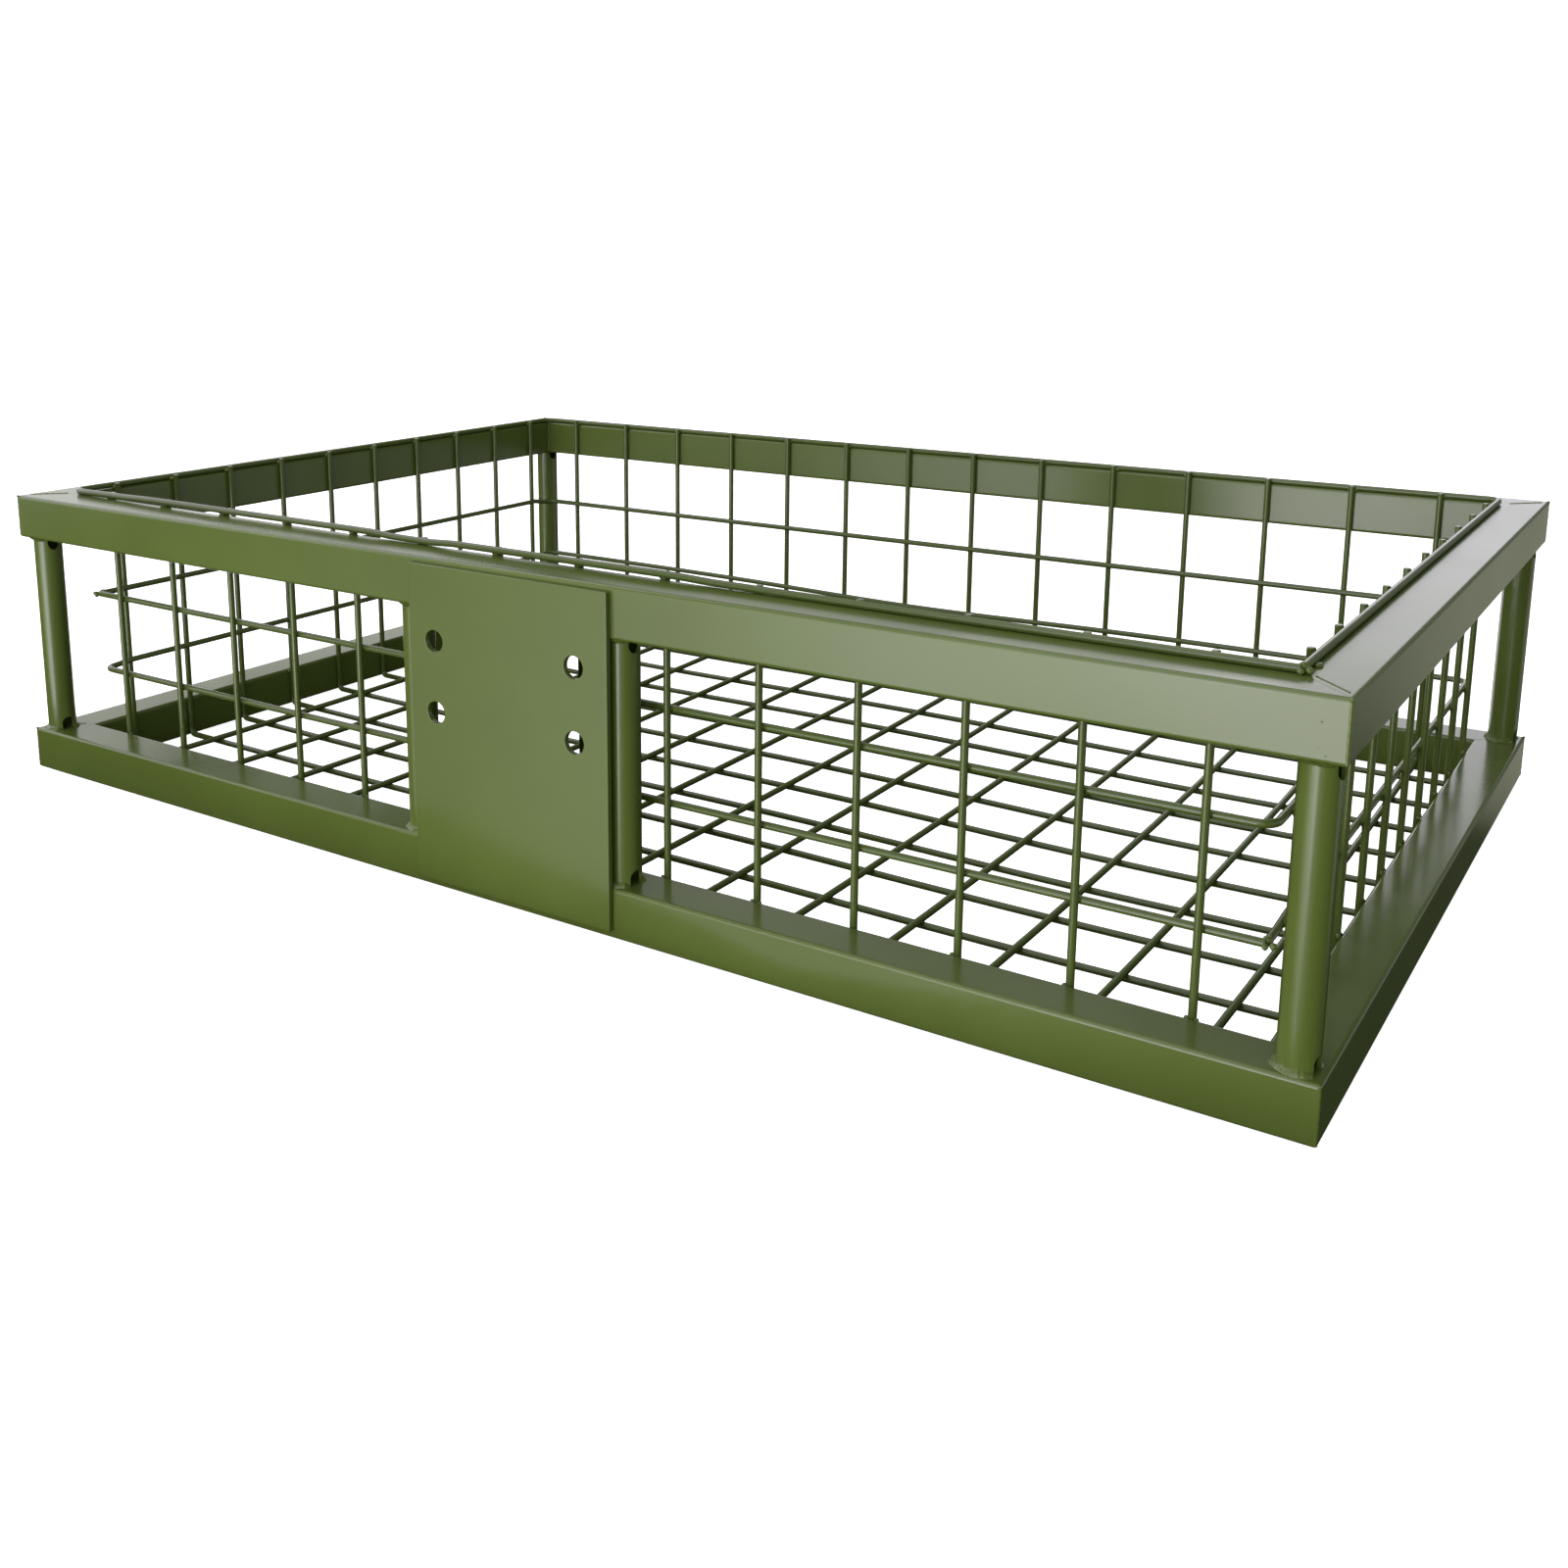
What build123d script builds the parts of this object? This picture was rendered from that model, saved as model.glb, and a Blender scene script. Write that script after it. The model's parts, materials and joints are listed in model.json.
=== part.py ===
from build123d import *
import os

# Welded open-top basket: two rectangular box-tube frames held apart by round posts, lined with a
# wire mesh of U-shaped wires, and bolted on by a plate with four holes on its front.
# Millimetres. +Z is up, +X runs along the front and -Y faces the front.
# The origin is the middle of the footprint, plate included, on the underside.

# --- driving dimensions -----------------------------------------------------------------------
LENGTH = 760.0          # outside length of both frames, along X
WIDTH = 492.0           # outside width of both frames, along Y
HEIGHT = 169.0          # underside of the lower frame to the top of the upper frame
TUBE = 25.0             # side of the square tube
TUBE_WALL = 2.0
TUBE_CORNER = 2.0       # outside corner radius of the square tube

POST_DIAMETER = 16.0
POST_WALL = 1.5
POST_X = 369.0          # corner posts, from the middle
POST_Y = 235.0          # all posts, from the middle of the frames
PLATE_POST_X = (-65.5, 61.7)
WELD_LEG = 2.5          # fillet weld around each end of a post
VENT = 7.0              # width and height of the drain notch at each end of a post

PLATE_THICKNESS = 3.0
PLATE_WIDTH = 121.2
PLATE_HEIGHT = 162.0
PLATE_X = 2.2           # middle of the plate
PLATE_Z = 85.3
PLATE_CORNER = 1.0
HOLE_DIAMETER = 11.0    # clearance for M10
HOLE_X = 0.5            # middle of the four holes
HOLE_Z = 110.8
HOLE_SPACING_X = 86.0
HOLE_SPACING_Z = 36.0

WIRE = 3.5              # diameter of every wire
WIRE_BEND = 3.0         # centre-line radius at the foot of each U-shaped wire
RING_BEND = 7.0         # centre-line radius at the corners of the rings and of the rim
CROSS_WIRES = 14
CROSS_PITCH = 50.0
LONG_WIRES = 10
LONG_PITCH = 43.4
LOWER_RING_Z = 61.0
UPPER_RING_Z = 106.5
RING_GAP = 0.3          # between the two cut ends of a ring, closed by a tack weld

# --- worked-out positions ---------------------------------------------------------------------
MIDDLE_Y = PLATE_THICKNESS / 2              # middle of the frames, which the plate shifts back
UPPER_BASE = HEIGHT - TUBE                  # underside of the upper frame
WIRE_R = WIRE / 2
INSIDE_X = LENGTH / 2 - TUBE                # inner faces of the rails, from the middle
INSIDE_Y = WIDTH / 2 - TUBE
UPRIGHT_X = INSIDE_X - WIRE_R               # wires that stand against the inner faces
UPRIGHT_Y = INSIDE_Y - WIRE_R
RING_X = UPRIGHT_X - WIRE                   # rings inside the uprights
RING_Y = UPRIGHT_Y - WIRE
RIM_X = INSIDE_X + WIRE_R                   # rim outside the uprights, on top of the upper frame
RIM_Y = INSIDE_Y + WIRE_R
RIM_Z = HEIGHT + WIRE_R
WIRE_TOP = HEIGHT + WIRE                    # cut ends of the uprights, level with the rim
LONG_FLOOR_Z = WIRE_R
CROSS_FLOOR_Z = LONG_FLOOR_Z + WIRE         # the cross wires lie on the long wires


def save(piece, name):
    """Label one finished sub-part and write it to its own file."""
    piece.part.label = name
    export_step(piece.part, f"parts/{name}.step")


def make_rail(name, out, length, reach, base):
    """One mitred square tube; out points from the middle to its outer face, reach away."""
    along = Vector(0, 0, 1).cross(out)
    middle = Vector(0, MIDDLE_Y, base + TUBE / 2)
    centre = middle + out * (reach - TUBE / 2)
    with BuildPart() as rail:
        with BuildSketch(Plane(origin=centre, x_dir=out, z_dir=along)):
            RectangleRounded(TUBE, TUBE, TUBE_CORNER)
            bore = TUBE - 2 * TUBE_WALL
            Rectangle(bore, bore, mode=Mode.SUBTRACT)
        extrude(amount=length / 2, both=True)
        for end in (-1, 1):
            corner = middle + out * reach + along * (end * length / 2)
            mitre = Plane(origin=corner, z_dir=along * end - out)
            split(bisect_by=mitre, keep=Keep.BOTTOM)
    save(rail, name)


def make_post(name, x, y):
    """One round tube between the frames, with its weld fillets and a drain notch at both ends."""
    radius = POST_DIAMETER / 2
    height = UPPER_BASE - TUBE
    foot = radius + WELD_LEG
    y += MIDDLE_Y
    with BuildPart() as post:
        with BuildSketch(Plane(origin=(x, y, TUBE), x_dir=(1, 0, 0), z_dir=(0, -1, 0))):
            with BuildLine():
                Polyline(
                    (radius - POST_WALL, 0),
                    (foot, 0),
                    (radius, WELD_LEG),
                    (radius, height - WELD_LEG),
                    (foot, height),
                    (radius - POST_WALL, height),
                    close=True,
                )
            make_face()
        revolve(axis=Axis((x, y, 0), (0, 0, 1)))
        for end in (TUBE, UPPER_BASE):
            with BuildSketch(Plane(origin=(x, y, end), x_dir=(0, 1, 0), z_dir=(1, 0, 0))):
                SlotOverall(2 * VENT, VENT, rotation=90)
            extrude(amount=foot, mode=Mode.SUBTRACT)
    save(post, name)


def make_wire(name, corners, bend):
    """One wire through its corners, each rounded to the bend radius."""
    with BuildPart() as wire:
        with BuildLine():
            path = FilletPolyline(*corners, radius=bend)
        with BuildSketch(Plane(origin=path @ 0, z_dir=path % 0)):
            Circle(WIRE_R)
        sweep()
    save(wire, name)


def ring_corners(half_x, half_y, z, joint_side):
    """Corners of a ring that starts and ends at one front corner: -1 is left, 1 is right.

    The front run passes the joint, and the side run stops against it.
    """
    near = MIDDLE_Y - half_y
    far = MIDDLE_Y + half_y
    joint_x = joint_side * half_x
    return [
        (joint_x + joint_side * WIRE_R, near, z),
        (-joint_x, near, z),
        (-joint_x, far, z),
        (joint_x, far, z),
        (joint_x, near + WIRE_R + RING_GAP, z),
    ]


os.makedirs("parts", exist_ok=True)

# --- frames -----------------------------------------------------------------------------------
FRAMES = (("lower", 0.0), ("upper", UPPER_BASE))
SIDES = (
    ("front", Vector(0, -1, 0), LENGTH, WIDTH / 2),
    ("rear", Vector(0, 1, 0), LENGTH, WIDTH / 2),
    ("left", Vector(-1, 0, 0), WIDTH, LENGTH / 2),
    ("right", Vector(1, 0, 0), WIDTH, LENGTH / 2),
)
for level, base in FRAMES:
    for side, out, length, reach in SIDES:
        make_rail(f"{level}_rail_{side}", out, length, reach, base)

# --- posts ------------------------------------------------------------------------------------
POSTS = (
    ("post_front_left", -POST_X, -POST_Y),
    ("post_front_right", POST_X, -POST_Y),
    ("post_rear_left", -POST_X, POST_Y),
    ("post_rear_right", POST_X, POST_Y),
    ("post_plate_left", PLATE_POST_X[0], -POST_Y),
    ("post_plate_right", PLATE_POST_X[1], -POST_Y),
)
for name, x, y in POSTS:
    make_post(name, x, y)

# --- mounting plate on the front faces of both frames --------------------------------------------
plate_back = MIDDLE_Y - WIDTH / 2
with BuildPart() as mounting_plate:
    with BuildSketch(Plane(origin=(0, plate_back, 0), x_dir=(1, 0, 0), z_dir=(0, -1, 0))):
        with Locations((PLATE_X, PLATE_Z)):
            RectangleRounded(PLATE_WIDTH, PLATE_HEIGHT, PLATE_CORNER)
        with Locations((HOLE_X, HOLE_Z)):
            with GridLocations(HOLE_SPACING_X, HOLE_SPACING_Z, 2, 2):
                Circle(HOLE_DIAMETER / 2, mode=Mode.SUBTRACT)
    extrude(amount=PLATE_THICKNESS)
save(mounting_plate, "mounting_plate")

# --- U-shaped wires: up one wall, across the floor and up the other wall ----------------------------
for index in range(CROSS_WIRES):
    x = (index - (CROSS_WIRES - 1) / 2) * CROSS_PITCH
    front = MIDDLE_Y - UPRIGHT_Y
    rear = MIDDLE_Y + UPRIGHT_Y
    corners = [
        (x, front, WIRE_TOP),
        (x, front, CROSS_FLOOR_Z),
        (x, rear, CROSS_FLOOR_Z),
        (x, rear, WIRE_TOP),
    ]
    make_wire(f"cross_wire_{index + 1:02d}", corners, WIRE_BEND)

for index in range(LONG_WIRES):
    y = MIDDLE_Y + (index - (LONG_WIRES - 1) / 2) * LONG_PITCH
    corners = [
        (-UPRIGHT_X, y, WIRE_TOP),
        (-UPRIGHT_X, y, LONG_FLOOR_Z),
        (UPRIGHT_X, y, LONG_FLOOR_Z),
        (UPRIGHT_X, y, WIRE_TOP),
    ]
    make_wire(f"long_wire_{index + 1:02d}", corners, WIRE_BEND)

# --- rings around the walls, and the rim around the opening -------------------------------------
make_wire("ring_wire_lower", ring_corners(RING_X, RING_Y, LOWER_RING_Z, 1), RING_BEND)
make_wire("ring_wire_upper", ring_corners(RING_X, RING_Y, UPPER_RING_Z, -1), RING_BEND)
make_wire("rim_wire", ring_corners(RIM_X, RIM_Y, RIM_Z, 1), RING_BEND)
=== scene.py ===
"""Welded wire-lined basket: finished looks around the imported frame.

Everything is in metres in the part's own frame: +X along the front, -Y out of the front, +Z up.
Sizes come from the frame; the constants below are finishing details that the solids leave out.
"""

import json
import math
import random

import bmesh
import bpy
from mathutils import Matrix, Vector


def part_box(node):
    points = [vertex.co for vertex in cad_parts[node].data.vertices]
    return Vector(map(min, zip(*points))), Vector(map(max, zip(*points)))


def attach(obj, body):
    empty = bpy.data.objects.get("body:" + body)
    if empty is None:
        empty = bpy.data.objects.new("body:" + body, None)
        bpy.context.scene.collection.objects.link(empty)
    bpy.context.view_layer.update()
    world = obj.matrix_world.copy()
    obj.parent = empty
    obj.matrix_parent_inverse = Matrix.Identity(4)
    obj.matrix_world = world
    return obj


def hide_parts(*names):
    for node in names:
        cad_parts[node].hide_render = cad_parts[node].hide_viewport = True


MM = 0.001
BODY = "root"
SEED = 7

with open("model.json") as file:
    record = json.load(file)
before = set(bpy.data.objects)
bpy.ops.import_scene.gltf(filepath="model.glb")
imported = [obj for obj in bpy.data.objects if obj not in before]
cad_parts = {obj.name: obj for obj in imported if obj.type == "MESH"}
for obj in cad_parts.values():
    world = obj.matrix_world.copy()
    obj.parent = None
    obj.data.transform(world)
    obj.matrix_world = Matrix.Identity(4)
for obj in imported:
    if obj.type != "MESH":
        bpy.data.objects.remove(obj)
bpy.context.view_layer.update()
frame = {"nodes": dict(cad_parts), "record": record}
rng = random.Random(SEED)
X_AXIS, Y_AXIS, Z_AXIS = Vector((1, 0, 0)), Vector((0, 1, 0)), Vector((0, 0, 1))
CORNERS = [(sx, sy) for sx in (-1, 1) for sy in (-1, 1)]

# --- finishing details ------------------------------------------------------------------------
TUBE_EDGE = 1.6 * MM            # rounded long edges of the square tube
CORNER_EDGE = 0.9 * MM          # outer vertical edge at a mitre, ground round
SEAM = 0.22 * MM                # half width and depth of the groove left at a mitre
EDGE_SUPPORT = 0.35 * MM        # strip of flat next to a rounded edge, which keeps the flat's shading

WIRE_BEND = 3.0 * MM
RING_BEND = 7.0 * MM
WIRE_SINK = 0.6 * MM            # how far crossing wires are pressed into each other
WIRE_CHAMFER = 0.35 * MM        # at the cut ends
WIRE_CUT_SPREAD = 0.5 * MM      # how unevenly the uprights are cut off
WIRE_SIDES = 18

POST_R = 8.0 * MM
POST_WALL = 1.5 * MM
POST_SIDES = 64
VENT = 7.0 * MM                 # width of the drain notches in the posts
VENT_REACH = 7.4 * MM           # height of a notch above or below the frame
VENT_TURN = math.radians(-9)    # notches face +X, turned a little to the front

PLATE_EDGE = 0.45 * MM          # bevel all around
PLATE_CORNER = 1.0 * MM

SMOOTH_ANGLE = 35               # edges sharper than this stay sharp, in degrees
BLOB_SMOOTH_ANGLE = 70
SEAM_SMOOTH_ANGLE = 60

# --- places read from the frame ----------------------------------------------------------------
rail_low, rail_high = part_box("lower_rail_front")
side_low, side_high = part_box("lower_rail_right")
upper_low, upper_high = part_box("upper_rail_front")
TUBE = rail_high.z - rail_low.z
HALF_X = rail_high.x
HALF_Y = (side_high.y - side_low.y) / 2
MID_Y = (side_high.y + side_low.y) / 2
TOP = upper_high.z
UPPER_BASE = upper_low.z
wire_low, wire_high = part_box("cross_wire_01")
WIRE_R = (wire_high.x - wire_low.x) / 2
UPRIGHT_Y = (wire_high.y - wire_low.y) / 2 - WIRE_R
UPRIGHT_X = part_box("long_wire_01")[1].x - WIRE_R
WIRE_TOP = wire_high.z
CROSS_NODES = sorted(n for n in frame["nodes"] if n.startswith("cross_wire"))
LONG_NODES = sorted(n for n in frame["nodes"] if n.startswith("long_wire"))
POST_NODES = sorted(n for n in frame["nodes"] if n.startswith("post_"))


def middle(node):
    """Centre of a node's box."""
    low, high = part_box(node)
    return (low + high) / 2


# --- materials --------------------------------------------------------------------------------
BASE_GREEN = (0.097, 0.14, 0.025)
CLOUDINESS = 0.06               # colour swing of the coat around its base colour
ROUGHNESS = 0.2
ROUGHNESS_SWING = 0.04
CLOUD_SCALE = 14.0              # per metre
PEEL_SCALE = 700.0              # per metre
PEEL_DEPTH = 0.2 * MM
PEEL_STRENGTH = 0.12
WIRE_PAINTED_SHADE_SCALE = 0.8                 # painted shade: the wire coat's colour is darkened to stand in for the dimmer light inside the basket


def add_noise(nodes, links, place, scale, detail):
    """A noise texture in the object's own coordinates."""
    noise = nodes.new("ShaderNodeTexNoise")
    noise.inputs["Scale"].default_value = scale
    noise.inputs["Detail"].default_value = detail
    links.new(place.outputs["Object"], noise.inputs["Vector"])
    return noise


def powder_coat(name, painted_shade_scale=1.0):
    """Glossy powder coat: fine orange peel, faint cloudiness in colour and gloss; a scale under 1 darkens
    the colour as painted shade.
    """
    material = bpy.data.materials.new(name)
    material.use_nodes = True
    nodes, links = material.node_tree.nodes, material.node_tree.links
    shader = nodes["Principled BSDF"]
    shader.inputs["IOR"].default_value = 1.5
    place = nodes.new("ShaderNodeTexCoord")

    cloud = add_noise(nodes, links, place, CLOUD_SCALE, 3.0)
    shade = nodes.new("ShaderNodeValToRGB")
    low, high = shade.color_ramp.elements
    low.position, high.position = 0.3, 0.7
    # the colour is scaled by the shade factor, which darkens it as painted shade when it is under 1
    low.color = [c * (1 - CLOUDINESS) * painted_shade_scale for c in BASE_GREEN] + [1.0]
    high.color = [c * (1 + CLOUDINESS) * painted_shade_scale for c in BASE_GREEN] + [1.0]
    links.new(cloud.outputs["Fac"], shade.inputs["Fac"])
    links.new(shade.outputs["Color"], shader.inputs["Base Color"])

    gloss = nodes.new("ShaderNodeMapRange")
    gloss.inputs["To Min"].default_value = ROUGHNESS - ROUGHNESS_SWING
    gloss.inputs["To Max"].default_value = ROUGHNESS + ROUGHNESS_SWING
    links.new(cloud.outputs["Fac"], gloss.inputs["Value"])
    links.new(gloss.outputs["Result"], shader.inputs["Roughness"])

    peel = add_noise(nodes, links, place, PEEL_SCALE, 2.0)
    relief = nodes.new("ShaderNodeBump")
    relief.inputs["Strength"].default_value = PEEL_STRENGTH
    relief.inputs["Distance"].default_value = PEEL_DEPTH
    links.new(peel.outputs["Fac"], relief.inputs["Height"])
    links.new(relief.outputs["Normal"], shader.inputs["Normal"])
    return material


COAT = powder_coat("green_powder_coat")
# the wire coat is the same coat darkened as painted shade, for the dimmer light inside the basket
SHADED_WIRE_COAT = powder_coat("green_powder_coat_wire_painted_shade", WIRE_PAINTED_SHADE_SCALE)


# --- building blocks --------------------------------------------------------------------------
def new_object(bm, name):
    """Turn a bmesh into an object of the scene."""
    mesh = bpy.data.meshes.new(name)
    bm.to_mesh(mesh)
    bm.free()
    made = bpy.data.objects.new(name, mesh)
    bpy.context.scene.collection.objects.link(made)
    return made


def finish_piece(bm, name, *nodes, smooth_angle=SMOOTH_ANGLE, coat=COAT):
    """Turn a bmesh into a piece that rides on the body, with the coat and the nodes it stands for."""
    bmesh.ops.recalc_face_normals(bm, faces=bm.faces)
    piece = new_object(bm, name)
    piece.data.shade_smooth()
    piece.data.set_sharp_from_angle(angle=math.radians(smooth_angle))
    piece.data.materials.append(coat)
    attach(piece, BODY)
    if nodes:
        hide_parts(*nodes)
    return piece


def join_loops(bm, a, b):
    """A band of quads between two closed loops of vertices."""
    count = len(a)
    for k in range(count):
        n = (k + 1) % count
        bm.faces.new((a[k], a[n], b[n], b[k]))


def skin(bm, rings):
    """Join the rings one to the next and close both ends."""
    for a, b in zip(rings, rings[1:]):
        join_loops(bm, a, b)
    bm.faces.new(reversed(rings[0]))
    bm.faces.new(rings[-1])


def add_tube(bm, points, radii, sides=WIRE_SIDES):
    """A round tube through points with one radius per point, closed at both ends."""
    tangents = []
    for i in range(len(points)):
        ahead = points[min(i + 1, len(points) - 1)]
        behind = points[max(i - 1, 0)]
        tangents.append((ahead - behind).normalized())
    side = tangents[0].orthogonal().normalized()
    rings = []
    for point, tangent, radius in zip(points, tangents, radii):
        side = (side - tangent * side.dot(tangent)).normalized()
        up = tangent.cross(side)
        ring = []
        for k in range(sides):
            angle = 2 * math.pi * k / sides
            ring.append(bm.verts.new(point + (side * math.cos(angle) + up * math.sin(angle)) * radius))
        rings.append(ring)
    skin(bm, rings)


def extend(path, end, spacing):
    """Continue the path straight to end in even steps."""
    start = path[-1].copy()
    steps = max(1, round((end - start).length / spacing))
    for step in range(1, steps + 1):
        path.append(start.lerp(end, step / steps))


def rounded_path(corners, radius, spacing=14 * MM, arc_steps=7):
    """Points along straight runs and tangent arcs through the corners."""
    path = [corners[0]]
    for before, corner, after in zip(corners, corners[1:], corners[2:]):
        into = (corner - before).normalized()
        out = (after - corner).normalized()
        turn = into.angle(out)
        reach = radius * math.tan(turn / 2)
        start = corner - into * reach
        inward = (out - into * into.dot(out)).normalized()
        centre = start + inward * radius
        extend(path, start, spacing)
        for step in range(1, arc_steps + 1):
            angle = turn * step / arc_steps
            path.append(centre - inward * (radius * math.cos(angle)) + into * (radius * math.sin(angle)))
    extend(path, corners[-1], spacing)
    return path


def make_wire(node, path):
    """A drawn wire along the path, with a small chamfer at each cut end."""
    first = path[0].lerp(path[1], WIRE_CHAMFER / (path[1] - path[0]).length)
    last = path[-1].lerp(path[-2], WIRE_CHAMFER / (path[-2] - path[-1]).length)
    points = [path[0], first, *path[1:-1], last, path[-1]]
    radii = [WIRE_R] * len(points)
    radii[0] = radii[-1] = WIRE_R - WIRE_CHAMFER
    bm = bmesh.new()
    add_tube(bm, points, radii)
    # the wires get the coat darkened as painted shade
    finish_piece(bm, node + "_drawn", node, coat=SHADED_WIRE_COAT)


# --- rails ------------------------------------------------------------------------------------
SECTION_ARC_STEPS = 5
MITRE_ARC_STEPS = 4
GROOVE_DEPTH = 1.4 * SEAM
NEAR_MITRE = 0.5 * MM           # support rings of the tube, before the mitre
CLEAR_OF_MITRE = 4 * MM


def support_step(angle, leaving):
    """Step along the flat next to a rounded edge, so that the flat keeps its own shading."""
    direction = Vector((-math.sin(math.radians(angle)), math.cos(math.radians(angle))))
    return direction * (EDGE_SUPPORT if leaving else -EDGE_SUPPORT)


def tube_section(size, radius):
    """Outline of the square tube as (depth from the outer face, height) pairs."""
    outline = []
    for cx, cy, start in ((radius, radius, 180), (size - radius, radius, 270),
                          (size - radius, size - radius, 0), (radius, size - radius, 90)):
        arc = []
        for step in range(SECTION_ARC_STEPS + 1):
            angle = math.radians(start + 90 * step / SECTION_ARC_STEPS)
            arc.append(Vector((cx + radius * math.cos(angle), cy + radius * math.sin(angle))))
        outline.append(arc[0] + support_step(start, False))
        outline.extend(arc)
        outline.append(arc[-1] + support_step(start + 90, True))
    return outline


def mitre_rings(section, half_length, end):
    """Rings of (depth, height, run) from the straight part to the groove at one end."""
    rings = []
    for step in range(MITRE_ARC_STEPS + 1):
        angle = math.radians(45) * step / MITRE_ARC_STEPS
        ring = []
        for depth, height in section:
            if depth < CORNER_EDGE:
                bend = CORNER_EDGE - depth
                d = CORNER_EDGE - bend * math.cos(angle)
                run = half_length - CORNER_EDGE + bend * math.sin(angle)
            else:
                d, run = depth, half_length - depth
            ring.append((d, height, end * (run - SEAM)))
        rings.append(ring)
    centre = Vector((TUBE / 2, TUBE / 2))
    groove = []
    for depth, height, run in rings[-1]:
        inset = Vector((depth, height)) - centre
        inset -= inset.normalized() * GROOVE_DEPTH
        inset += centre
        groove.append((inset.x, inset.y, run + end * SEAM))
    rings.append(groove)
    return rings


def make_rail(node, out, half_length, reach):
    """One mitred tube; its ends follow the ground outer corner and leave a shallow seam groove."""
    along = Z_AXIS.cross(out)
    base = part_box(node)[0].z
    section = tube_section(TUBE, TUBE_EDGE)
    clear = half_length - TUBE - CLEAR_OF_MITRE
    straight = [[(d, h, end * clear) for d, h in section] for end in (-1, 1)]
    near = [
        [(d, h, end * (half_length - max(d, CORNER_EDGE) - SEAM - NEAR_MITRE)) for d, h in section]
        for end in (-1, 1)
    ]
    ordered = mitre_rings(section, half_length, -1)[::-1]
    ordered += [near[0], straight[0], straight[1], near[1]]
    ordered += mitre_rings(section, half_length, 1)
    bm = bmesh.new()
    rings = []
    for outline in ordered:
        rings.append([
            bm.verts.new(Vector((0, MID_Y, base)) + out * (reach - depth) + along * run + Z_AXIS * height)
            for depth, height, run in outline
        ])
    skin(bm, rings)
    bmesh.ops.remove_doubles(bm, verts=bm.verts, dist=0.002 * MM)
    bmesh.ops.dissolve_degenerate(bm, edges=bm.edges, dist=0.001 * MM)
    finish_piece(bm, node + "_tube", node)


SIDES = (
    ("front", -Y_AXIS, HALF_X, HALF_Y),
    ("rear", Y_AXIS, HALF_X, HALF_Y),
    ("left", -X_AXIS, HALF_Y, HALF_X),
    ("right", X_AXIS, HALF_Y, HALF_X),
)
for level in ("lower", "upper"):
    for side, out, half_length, reach in SIDES:
        make_rail(f"{level}_rail_{side}", out, half_length, reach)


# --- posts ------------------------------------------------------------------------------------
POST_SUPPORT = 3 * MM           # rings near the ends, where the notches are cut
VENT_ARC_STEPS = 16
CUTTER_LENGTH = 20 * MM

WELD_OPENING = math.radians(29)     # half of the gap that a weld leaves for the vent
WELD_STEPS = 150
WELD_PROFILE_STEPS = 7
WELD_LEG = 2.1                      # in mm, as are the next four
WELD_HEIGHT = 2.0
WELD_RIPPLE = 0.14
WELD_WANDER = 0.2
WELD_WANDER_FINE = 0.12
WELD_RIPPLES = 26                   # around a full turn
WELD_BULGE = 0.16
WELD_END_SCALE = 0.25               # thickness left where a weld starts and stops
WELD_TAPER = 1 / 16                 # share of a weld's length over which it thins towards an end
WELD_OVERLAP = 0.3 * MM             # how far a bead reaches into the post


def post_centre(node):
    """The axis of a post. Its vents cut only the +X side, so that side doesn't count."""
    low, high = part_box(node)
    radius = (high.y - low.y) / 2
    return Vector((low.x + radius, (low.y + high.y) / 2, 0))


def slot_cutter(centre, z):
    """A round-ended bar that reaches from the post's axis out through its wall."""
    bm = bmesh.new()
    radius = VENT / 2
    outline = []
    for start, shift in ((0, VENT_REACH - radius), (180, radius - VENT_REACH)):
        for step in range(VENT_ARC_STEPS + 1):
            angle = math.radians(start + 180 * step / VENT_ARC_STEPS)
            outline.append((math.cos(angle) * radius, math.sin(angle) * radius + shift))
    near = [bm.verts.new((0, y, h)) for y, h in outline]
    far = [bm.verts.new((CUTTER_LENGTH, y, h)) for y, h in outline]
    skin(bm, [near, far])
    bmesh.ops.recalc_face_normals(bm, faces=bm.faces)
    cutter = new_object(bm, "cutter")
    cutter.data.transform(Matrix.Translation(centre + Z_AXIS * z) @ Matrix.Rotation(VENT_TURN, 4, "Z"))
    return cutter


def cut_away(piece, cutters):
    """Apply the cutters to the piece's mesh and remove them."""
    for cutter in cutters:
        modifier = piece.modifiers.new("cut", "BOOLEAN")
        modifier.operation = "DIFFERENCE"
        modifier.solver = "EXACT"
        modifier.object = cutter
    bpy.context.view_layer.update()
    result = bpy.data.meshes.new_from_object(
        piece.evaluated_get(bpy.context.evaluated_depsgraph_get())
    )
    piece.modifiers.clear()
    piece.data = result
    for cutter in cutters:
        bpy.data.objects.remove(cutter)
    result.shade_smooth()
    result.set_sharp_from_angle(angle=math.radians(SMOOTH_ANGLE))


def make_post(node):
    """A hollow round tube between the frames with a drain notch at each end."""
    centre = post_centre(node)
    bm = bmesh.new()
    rings = []
    levels = (TUBE, TUBE + POST_SUPPORT, (TUBE + UPPER_BASE) / 2, UPPER_BASE - POST_SUPPORT, UPPER_BASE)
    for radius, heights in ((POST_R, levels), (POST_R - POST_WALL, levels[::-1])):
        for z in heights:
            ring = []
            for k in range(POST_SIDES):
                angle = 2 * math.pi * k / POST_SIDES
                ring.append(bm.verts.new((
                    centre.x + radius * math.cos(angle),
                    centre.y + radius * math.sin(angle),
                    z,
                )))
            rings.append(ring)
    for a, b in zip(rings, rings[1:] + rings[:1]):
        join_loops(bm, a, b)
    piece = finish_piece(bm, node + "_tube", node)
    cut_away(piece, [slot_cutter(centre, z) for z in (TUBE, UPPER_BASE)])


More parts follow.
